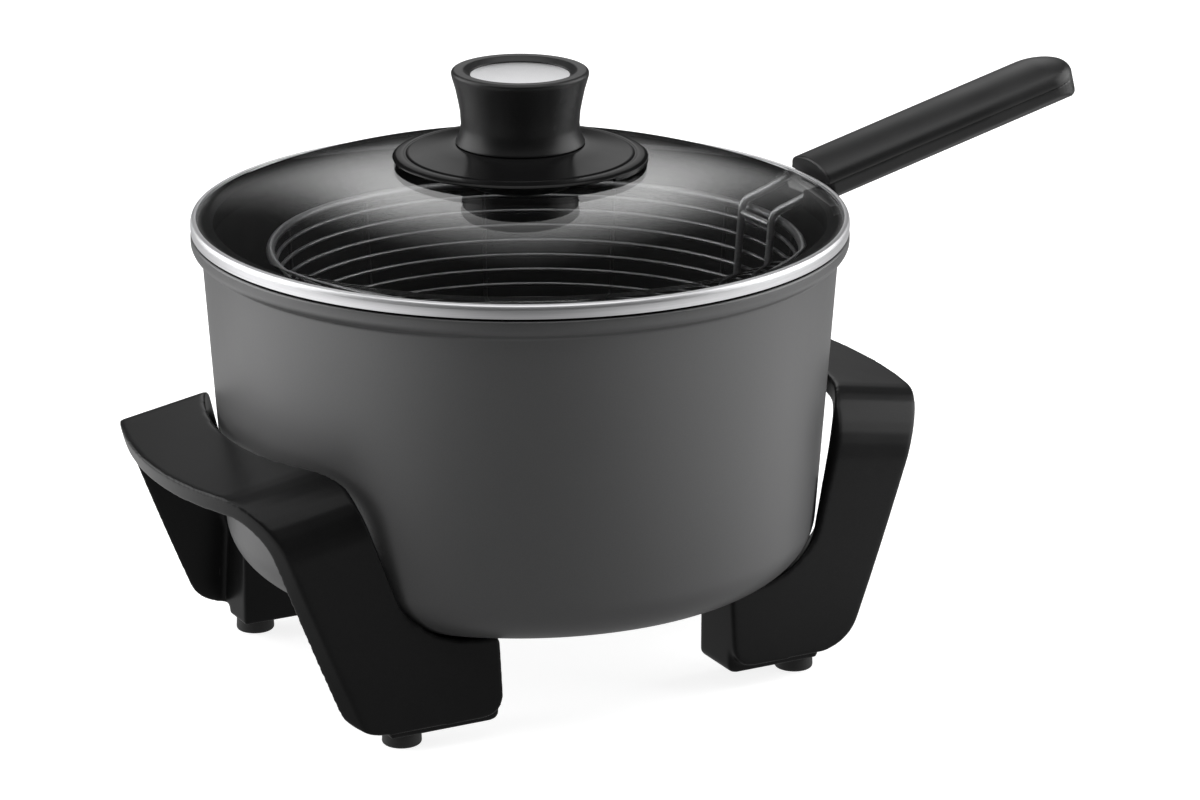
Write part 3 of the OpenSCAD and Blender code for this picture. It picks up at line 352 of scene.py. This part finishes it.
# outline points are radius and height in mm, with a rounding and its segments where wanted
def drawOutline(bm, outline, closed=False, centre=(axisX, 0)):
    corners = [bm.verts.new((centre[0] + point[0] * mm, centre[1], point[1] * mm))
               for point in outline]
    for a, b in zip(corners, corners[1:]):
        bm.edges.new((a, b))
    if closed:
        bm.edges.new((corners[-1], corners[0]))
    for corner, point in zip(corners, outline):
        if len(point) > 2:
            bmesh.ops.bevel(bm, geom=[corner], offset=point[2] * mm, offset_type='OFFSET',
                            affect='VERTICES', segments=point[3] if len(point) > 3 else roundSteps,
                            profile=0.5, material=-1)


def turnRound(bm, steps, centre=(axisX, 0)):
    bmesh.ops.spin(bm, geom=bm.verts[:] + bm.edges[:], cent=(*centre, 0), axis=(0, 0, 1),
                   dvec=(0, 0, 0), angle=2 * math.pi, steps=steps, use_merge=True,
                   use_duplicate=False)


def closeUp(bm):
    bmesh.ops.remove_doubles(bm, verts=bm.verts[:], dist=mergeGap)
    bmesh.ops.recalc_face_normals(bm, faces=bm.faces[:])


def vertsOf(items):
    return [item for item in items if isinstance(item, bmesh.types.BMVert)]


def makePiece(name, bm, body, nodes, looks, sharp=32):
    mesh = bpy.data.meshes.new(name)
    bm.to_mesh(mesh)
    bm.free()
    for look in looks:
        mesh.materials.append(finishes[look])
    mesh.shade_smooth()
    mesh.set_sharp_from_angle(angle=math.radians(sharp))
    piece = bpy.data.objects.new(name, mesh)
    scene.collection.objects.link(piece)
    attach(piece, body)
    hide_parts(*nodes)
    return piece


def turnedPiece(name, outline, body, nodes, look, steps=128, centre=(axisX, 0)):
    bm = bmesh.new()
    drawOutline(bm, outline, True, centre)
    turnRound(bm, steps, centre)
    closeUp(bm)
    return makePiece(name, bm, body, nodes, [look])


# pot: charcoal outside, dark non-stick lining, with the notch for the prongs
potShape = {
    "outside": [(0, 41), (112.7, 41, 17.7, 14), (120.95, 163.5, 1.2), (125, 165.7, 2.2),
                (125, 171, 0.9), (118, 171)],
    "inside": [(118, 171, 0.9), (118, 162, 3), (110.2, 48, 15, 12), (0, 48)],
    "notchHalf": 15, "notchFloor": 166.8, "steps": 256,
    "liningLow": 47.5, "liningReach": 124.3, "liningTilt": 0.3}


def makePot(shape):
    bm = bmesh.new()
    drawOutline(bm, shape["outside"] + shape["inside"])
    turnRound(bm, shape["steps"])
    closeUp(bm)
    for vert in bm.verts:
        if vert.co.x > axisX and abs(vert.co.y) < shape["notchHalf"] * mm:
            vert.co.z = min(vert.co.z, shape["notchFloor"] * mm)
    closeUp(bm)
    for face in bm.faces:
        middle = face.calc_center_median()
        outward = Vector((middle.x - axisX, middle.y, 0))
        inner = face.normal.z > shape["liningTilt"] or face.normal.dot(outward) < 0
        lined = (inner and middle.z > shape["liningLow"] * mm
                 and outward.length < shape["liningReach"] * mm)
        face.material_index = 1 if lined else 0
    return makePiece("potBody", bm, "cooker", ["pot"], ["charcoalCoat", "nonStick"])


makePot(potShape)
print("pot made")


# lid: domed glass, and a rolled band that is cut away over the prongs
glassShape = {"domeRadius": 122.8, "edgeRadius": 124.2, "edgeLow": 173.0, "edgeHigh": 176.2,
              "topHigh": 200.2, "topLow": 196.2, "steps": 224, "arcSteps": 24,
              "edgeRound": 0.6, "edgeSteps": 3}


def makeGlass(shape):
    bm = bmesh.new()
    ends = []
    for side in ("High", "Low"):
        apex = shape["top" + side]
        rise = apex - shape["edge" + side]
        ball = (shape["domeRadius"] ** 2 + rise ** 2) / (2 * rise)
        start = bm.verts.new((axisX, 0, apex * mm))
        swept = bmesh.ops.spin(bm, geom=[start], cent=(axisX, 0, (apex - ball) * mm),
                               axis=(0, 1, 0), dvec=(0, 0, 0),
                               angle=math.asin(shape["domeRadius"] / ball),
                               steps=shape["arcSteps"], use_duplicate=False)
        ends.append(vertsOf(swept["geom_last"])[0])
    rim = [bm.verts.new((axisX + shape["edgeRadius"] * mm, 0, shape[key] * mm))
           for key in ("edgeHigh", "edgeLow")]
    for a, b in ((ends[0], rim[0]), (rim[0], rim[1]), (rim[1], ends[1])):
        bm.edges.new((a, b))
    for corner in rim:
        bmesh.ops.bevel(bm, geom=[corner], offset=shape["edgeRound"] * mm, offset_type='OFFSET',
                        affect='VERTICES', segments=shape["edgeSteps"], profile=0.5, material=-1)
    turnRound(bm, shape["steps"])
    closeUp(bm)
    return makePiece("domeGlass", bm, "lid", ["lid_glass"], ["lidGlass"])


makeGlass(glassShape)

bandShape = {
    "outline": [(122.8, 172.42), (124.66, 172.42), (124.66, 171.85, 0.08), (124.85, 171.85, 0.08),
                (125, 173.5, 0.6), (124.95, 175.7, 0.8), (124.3, 176.72, 0.6), (122.85, 177.0, 0.2),
                (122.85, 176.45), (124.25, 176.3), (124.35, 172.95), (122.8, 172.95)],
    "prongHalf": 15, "prongTop": 172.9, "steps": 256}


def makeBand(shape):
    bm = bmesh.new()
    drawOutline(bm, shape["outline"], closed=True)
    turnRound(bm, shape["steps"])
    closeUp(bm)
    for vert in bm.verts:
        if vert.co.x > axisX and abs(vert.co.y) < shape["prongHalf"] * mm:
            vert.co.z = max(vert.co.z, shape["prongTop"] * mm)
    closeUp(bm)
    return makePiece("lidBand", bm, "lid", ["lid_band"], ["polishedBand"])


makeBand(bandShape)
print("lid made")


# knob: waisted grip with a sunk disc, retainer under the glass, base
knobShapes = {
    "knobGrip": {
        "outline": [(0, 203.55), (22.8, 203.55), (22.8, 204.07), (24.5, 204.07, 0.2),
                    (24.45, 204.6, 0.3), (23.6, 206.2), (22.9, 208.2), (22.55, 210.4),
                    (22.42, 211.6), (22.75, 216.4), (23.5, 220.4), (24.45, 224.9), (25.7, 229.2),
                    (26, 230.3, 0.6), (26, 232.17, 1.5), (21.6, 232.17, 0.5),
                    (19.05, 230.57, 0.2), (19.05, 228.97), (0, 228.97)],
        "slot": "moulding", "node": "knob_grip", "look": "blackMoulding"},
    "knobDisc": {
        "outline": [(0, 229.02), (19, 229.02), (19, 230.2, 0.35), (0, 230.2)],
        "slot": "inlay", "node": "knob_inlay", "look": "spunDisc"},
    "glassRetainer": {
        "outline": [(0, 186.7), (22.5, 186.7, 3), (22.5, 195.1), (16, 195.5), (16, 195.2),
                    (0, 195.2)],
        "slot": "moulding", "node": "knob_retainer", "look": "blackMoulding"},
    "knobBase": {
        "outline": [(4.4, 203.47), (4.4, 201.2), (16, 201.2), (16, 200.1), (31, 199.0),
                    (44.5, 197.45, 0.2), (44.5, 198.55, 0.2), (22.8, 201.27), (22.8, 203.47)],
        "slot": "moulding", "node": "knob_base", "look": "glossMoulding"}}
for name, shape in knobShapes.items():
    turnedPiece(name, shape["outline"], "lid", [shape["node"]], shape["look"])

# the vent ring under the knob, with the shutter that hangs from its edge
ringShape = {"outline": [(23.1, 201.57), (44.8, 198.85), (44.8, 198.27), (48.1, 198.27, 0.3),
                         (48.5, 198.7, 0.4), (47.6, 199.5, 0.8), (44.6, 200.2, 0.6),
                         (43.6, 199.8, 0.4), (42.6, 200.3, 0.6), (38.5, 200.97), (31, 202.6),
                         (25.5, 203.77, 0.8), (23.1, 203.77)],
             "steps": 160,
             "shutter": [(46.9, 197.17), (48.4, 197.17, 0.3), (48.5, 198.9), (46.9, 198.9)],
             "shutterMid": -41, "shutterAngle": 58, "shutterSteps": 26}


def makeVentRing(shape):
    bm = bmesh.new()
    drawOutline(bm, shape["outline"], closed=True)
    turnRound(bm, shape["steps"])
    closeUp(bm)
    tab = bmesh.new()
    drawOutline(tab, shape["shutter"], closed=True)
    bmesh.ops.contextual_create(tab, geom=tab.edges[:])
    bmesh.ops.spin(tab, geom=tab.verts[:] + tab.edges[:] + tab.faces[:], cent=(axisX, 0, 0),
                   axis=(0, 0, 1), dvec=(0, 0, 0), angle=math.radians(shape["shutterAngle"]),
                   steps=shape["shutterSteps"], use_duplicate=False)
    turn = math.radians(shape["shutterMid"] - shape["shutterAngle"] / 2)
    bmesh.ops.rotate(tab, verts=tab.verts[:], cent=(axisX, 0, 0),
                     matrix=Quaternion((0, 0, 1), turn).to_matrix())
    closeUp(tab)
    spare = bpy.data.meshes.new("shutterTab")
    tab.to_mesh(spare)
    tab.free()
    bm.from_mesh(spare)
    bpy.data.meshes.remove(spare)
    return makePiece("ventRing", bm, "vent_ring", ["vent_ring"], ["glossMoulding"])


makeVentRing(ringShape)
print("knob made")


# moulded pieces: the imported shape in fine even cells, with every edge eased round
mouldings = {
    "leftLegHandle": {"node": "left_leg_handle", "body": "cooker", "look": "legMoulding",
                      "cell": 0.5, "passes": 36, "share": 0.2},
    "rightLegHandle": {"node": "right_leg_handle", "body": "cooker", "look": "legMoulding",
                       "cell": 0.5, "passes": 36, "share": 0.2},
    "handleLower": {"node": "handle_underside", "body": "basket_handle", "look": "blackMoulding",
                    "cell": 0.4, "passes": 4, "share": 0.5},
    "handleCatch": {"node": "release_catch", "body": "release_catch", "look": "blackMoulding",
                    "cell": 0.3, "passes": 14, "share": 0.6}}
packedGap = 2e-6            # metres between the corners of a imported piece's loose triangles
easeFactor = 0.5


def mouldedCopy(name, shape):
    bm = bmesh.new()
    bm.from_mesh(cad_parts[shape["node"]].data)
    bmesh.ops.remove_doubles(bm, verts=bm.verts[:], dist=packedGap)
    piece = makePiece(name, bm, shape["body"], [shape["node"]], [shape["look"]],
                      sharp=180)
    even = piece.modifiers.new("evenCells", 'REMESH')
    even.mode = 'VOXEL'
    even.voxel_size = shape["cell"] * mm
    even.use_smooth_shade = True
    ease = piece.modifiers.new("easedEdges", 'SMOOTH')
    ease.factor = easeFactor
    ease.iterations = shape["passes"]
    thin = piece.modifiers.new("fewerFaces", 'DECIMATE')
    thin.ratio = shape["share"]
    packed = piece.data
    shaped = piece.evaluated_get(bpy.context.evaluated_depsgraph_get())
    piece.data = bpy.data.meshes.new_from_object(shaped)
    piece.modifiers.clear()
    bpy.data.meshes.remove(packed)


for name, shape in mouldings.items():
    mouldedCopy(name, shape)

# the basket handle's upper shell: a crowned section swept straight, then turned round at the tip
shellShape = {"start": (128.6, 171.93), "tilt": 14.5, "rise": 3, "length": 122, "half": 15.5,
              "taper": 1, "height": 7.4, "crown": 34, "crownPoints": (0, 2.5, 5, 7.5, 10, 12.2),
              "edge": 2.6, "begin": 1.0, "beginSteps": 4, "tipSteps": 40, "sharp": 50}


def makeUpperShell(shape):
    bm = bmesh.new()

    def crown(out):
        return shape["height"] - shape["crown"] + math.sqrt(shape["crown"] ** 2 - out ** 2)

    section = [(out, crown(out)) for out in shape["crownPoints"]]
    section += [(shape["half"], crown(shape["half"]), shape["edge"]), (shape["half"], 0), (0, 0)]
    drawOutline(bm, section, centre=(0, 0))
    bmesh.ops.spin(bm, geom=bm.verts[:] + bm.edges[:], cent=(0, 0, 0), axis=(0, 0, 1),
                   dvec=(0, 0, 0), angle=math.pi, steps=shape["tipSteps"], use_duplicate=False)
    bmesh.ops.remove_doubles(bm, verts=bm.verts[:], dist=mergeGap)
    ends = [edge for edge in bm.edges
            if edge.is_boundary and max(abs(v.co.y) for v in edge.verts) < mergeGap]
    drawn = bmesh.ops.extrude_edge_only(bm, edges=ends)["geom"]
    startVerts = vertsOf(drawn)
    narrow = 1 - shape["taper"] / shape["half"]
    bmesh.ops.scale(bm, vec=(narrow, 1, 1), verts=startVerts)
    bmesh.ops.translate(bm, vec=(0, (shape["half"] - shape["length"]) * mm, 0), verts=startVerts)
    rim = [item for item in drawn if isinstance(item, bmesh.types.BMEdge) and item.is_boundary
           and all(v in startVerts for v in item.verts)]
    bmesh.ops.contextual_create(bm, geom=rim)
    closeUp(bm)
    upper = [edge for edge in rim
             if edge.is_valid and min(v.co.z for v in edge.verts) > mergeGap]
    bmesh.ops.bevel(bm, geom=upper, offset=shape["begin"] * mm, offset_type='OFFSET',
                    affect='EDGES', segments=shape["beginSteps"], profile=0.5, material=-1)
    place = (Matrix.Translation((axisX + shape["start"][0] * mm, 0, shape["start"][1] * mm))
             @ Matrix.Rotation(math.radians(-shape["tilt"]), 4, 'Y')
             @ Matrix.Translation(((shape["length"] - shape["half"]) * mm, 0, shape["rise"] * mm))
             @ Matrix.Rotation(-math.pi / 2, 4, 'Z'))
    bmesh.ops.transform(bm, matrix=place, verts=bm.verts[:])
    closeUp(bm)
    return makePiece("handleUpper", bm, "basket_handle", ["handle_top"],
                     ["blackMoulding"], sharp=shape["sharp"])


makeUpperShell(shellShape)

# rubber feet, each with its stem
footShape = {"outline": [(0, 0), (7.5, 0, 1.2), (7.2, 6.5, 0.3), (3.5, 6.5), (3.5, 14.2, 0.4),
                         (0, 14.2)],
             "steps": 48}
for place in ("front_left", "front_right", "rear_left", "rear_right"):
    low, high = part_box(place + "_foot")
    centre = ((low.x + high.x) / 2, (low.y + high.y) / 2)
    turnedPiece(place + "Foot", footShape["outline"], "cooker", [place + "_foot"],
                "footRubber", footShape["steps"], centre)
print("mouldings made")

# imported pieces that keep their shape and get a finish
kept = {
    "plainSteel": ["element_cover", "cover_screws", "terminal_guard", "guard_screws", "leg_screws",
                   "handle_screws", "knob_screw"],
    "sheathSteel": ["heating_element"],
    "drawnWire": ["basket_rim", "basket_hoops", "basket_base_ring"],
    # painted light: the bracket gets the lightened wire colour
    "paintedLightWire": ["handle_bracket"],
    # painted shade: the uprights and floor get the darkened wire colour
    "paintedShadeWire": ["basket_uprights", "basket_floor"],
    "blackSilicone": ["lid_gasket", "knob_seal", "vent_grommet", "retainer_seal"],
    "bareAluminium": ["heat_spreader", "probe_sleeve"],
    "bareBrass": ["terminal_pins", "knob_insert"],
    "pinCeramic": ["terminal_insulators"]}
for look, nodes in kept.items():
    for node in nodes:
        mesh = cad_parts[node].data
        mesh.materials.clear()
        mesh.materials.append(finishes[look])
print("kept pieces finished")

# stage: pale floor, white surround, soft boxes
backward = Vector((axisX - camLook["place"][0], -camLook["place"][1], 0)).normalized()
sideways = Vector((-backward.y, backward.x, 0))          # to the camera's left
floorLook = {"size": 12.0, "grey": 0.5, "white": 0.85, "front": 0.44, "sides": 1.65,
             "sideSpan": (0.08, 0.4), "backSpan": (0.0, 0.35), "leftSpan": (0.05, 0.4),
             "leftLift": 1.45, "farSpan": (0.6, 1.1), "far": 0.02}
surroundLook = {"glow": 1.6, "glowSide": (0.12, 0.225), "glowLow": (-0.02, 0.55),
                "glowHigh": (0.56, 0.76), "glowBow": 5.0, "behindSpan": (0, 0.2), "ambient": 0.02}
boxLook = {"target": (-0.03, 0, 0.12),
           "leftBox": {"back": 0.3, "left": 1.5, "up": 0.7, "size": 1.7, "power": 34},
           "rightBox": {"back": 0.3, "left": -1.5, "up": 0.7, "size": 1.7, "power": 34},
           "topBox": {"back": -0.2, "left": 0, "up": 2.0, "size": 2.2, "power": 34}}


# a value that runs smoothly between two levels as another value crosses a span
def smoothSpan(tree, value, span, levels):
    ramp = put(tree, 'ShaderNodeMapRange', interpolation_type='SMOOTHSTEP', From_Min=span[0],
               From_Max=span[1], To_Min=levels[0], To_Max=levels[1])
    join(tree, value, ramp.inputs["Value"])
    return ramp.outputs["Result"]


def alongAxis(tree, vector, axis):
    dot = put(tree, 'ShaderNodeVectorMath', operation='DOT_PRODUCT')
    dot.inputs[1].default_value = axis
    join(tree, vector, dot.inputs[0])
    return dot.outputs["Value"]


def combine(tree, operation, first, second=None):
    node = put(tree, 'ShaderNodeMath', operation=operation)
    join(tree, first, node.inputs[0])
    if isinstance(second, (int, float)):
        node.inputs[1].default_value = second
    elif second is not None:
        join(tree, second, node.inputs[1])
    return node.outputs[0]


def makeFloor(look):
    bm = bmesh.new()
    bmesh.ops.create_grid(bm, x_segments=2, y_segments=2, size=look["size"] / 2)
    mesh = bpy.data.meshes.new("floor")
    bm.to_mesh(mesh)
    bm.free()
    floor = bpy.data.objects.new("floor", mesh)
    scene.collection.objects.link(floor)
    finish = bpy.data.materials.new("paleFloor")
    finish.use_nodes = True
    tree = finish.node_tree
    tree.nodes.clear()
    out = tree.nodes.new('ShaderNodeOutputMaterial')
    rays = tree.nodes.new('ShaderNodeLightPath')
    coords = tree.nodes.new('ShaderNodeTexCoord')
    # what the camera sees: nearly white, with a faint contact shade
    plain = put(tree, 'ShaderNodeBsdfDiffuse', Color=(look["grey"], look["grey"], look["grey"], 1))
    lit = put(tree, 'ShaderNodeEmission', Color=(1, 1, 1, 1), Strength=look["white"])
    seen = tree.nodes.new('ShaderNodeAddShader')
    join(tree, plain.outputs[0], seen.inputs[0])
    join(tree, lit.outputs[0], seen.inputs[1])
    # what the object mirrors: grey in front, bright at both sides, dark far away
    fromAxis = put(tree, 'ShaderNodeVectorMath', operation='SUBTRACT')
    fromAxis.inputs[1].default_value = (axisX, 0, 0)
    join(tree, coords.outputs["Object"], fromAxis.inputs[0])
    place = fromAxis.outputs["Vector"]
    across = combine(tree, 'ABSOLUTE', alongAxis(tree, place, sideways))
    back = alongAxis(tree, place, backward)
    length = put(tree, 'ShaderNodeVectorMath', operation='LENGTH')
    join(tree, place, length.inputs[0])
    sides = smoothSpan(tree, across, look["sideSpan"], (0, look["sides"] - look["front"]))
    sides = combine(tree, 'MULTIPLY', sides, smoothSpan(tree, back, look["backSpan"], (1, 0)))
    leftward = smoothSpan(tree, alongAxis(tree, place, sideways), look["leftSpan"],
                          (1, look["leftLift"]))
    sides = combine(tree, 'MULTIPLY', sides, leftward)
    level = combine(tree, 'ADD', sides, look["front"])
    fading = smoothSpan(tree, length.outputs["Value"], look["farSpan"], (1, look["far"]))
    level = combine(tree, 'MULTIPLY', level, fading)
    mirror = put(tree, 'ShaderNodeEmission', Color=(1, 1, 1, 1))
    join(tree, level, mirror.inputs["Strength"])
    pick = tree.nodes.new('ShaderNodeMixShader')
    join(tree, rays.outputs["Is Camera Ray"], pick.inputs[0])
    join(tree, mirror.outputs[0], pick.inputs[1])
    join(tree, seen.outputs[0], pick.inputs[2])
    join(tree, pick.outputs[0], out.inputs["Surface"])
    mesh.materials.append(finish)


# a soft upright glow behind the object, which the glass and the knob's top mirror
def makeSurround(look):
    world = bpy.data.worlds.new("studio")
    scene.world = world
    world.use_nodes = True
    tree = world.node_tree
    tree.nodes.clear()
    out = tree.nodes.new('ShaderNodeOutputWorld')
    rays = tree.nodes.new('ShaderNodeLightPath')
    coords = tree.nodes.new('ShaderNodeTexCoord')
    ray = coords.outputs["Generated"]
    across = combine(tree, 'ABSOLUTE', alongAxis(tree, ray, sideways))
    above = alongAxis(tree, ray, (0, 0, 1))
    bowed = combine(tree, 'MULTIPLY', combine(tree, 'POWER', across, 2), look["glowBow"])
    bowed = combine(tree, 'ADD', bowed, above)
    near = smoothSpan(tree, across, look["glowSide"], (look["glow"], 0))
    near = combine(tree, 'MULTIPLY', near, smoothSpan(tree, above, look["glowLow"], (0, 1)))
    near = combine(tree, 'MULTIPLY', near, smoothSpan(tree, bowed, look["glowHigh"], (1, 0)))
    behind = smoothSpan(tree, alongAxis(tree, ray, backward), look["behindSpan"], (0, 1))
    level = combine(tree, 'ADD', combine(tree, 'MULTIPLY', near, behind), look["ambient"])
    glow = put(tree, 'ShaderNodeBackground', Color=(1, 1, 1, 1))
    join(tree, level, glow.inputs["Strength"])
    white = put(tree, 'ShaderNodeBackground', Color=(1, 1, 1, 1), Strength=1.0)
    pick = tree.nodes.new('ShaderNodeMixShader')
    join(tree, rays.outputs["Is Camera Ray"], pick.inputs[0])
    join(tree, glow.outputs[0], pick.inputs[1])
    join(tree, white.outputs[0], pick.inputs[2])
    join(tree, pick.outputs[0], out.inputs["Surface"])


def softBox(name, look, target):
    lampData = bpy.data.lights.new(name, 'AREA')
    lampData.shape = 'RECTANGLE'
    lampData.size = lampData.size_y = look["size"]
    lampData.energy = look["power"]
    lamp = bpy.data.objects.new(name, lampData)
    scene.collection.objects.link(lamp)
    lamp.location = backward * look["back"] + sideways * look["left"] + Vector((0, 0, look["up"]))
    lamp.rotation_mode = 'QUATERNION'
    lamp.rotation_quaternion = (Vector(target) - lamp.location).to_track_quat('-Z', 'Y')


makeFloor(floorLook)
makeSurround(surroundLook)
for name in ("leftBox", "rightBox", "topBox"):
    softBox(name, boxLook[name], boxLook["target"])
print("stage set")
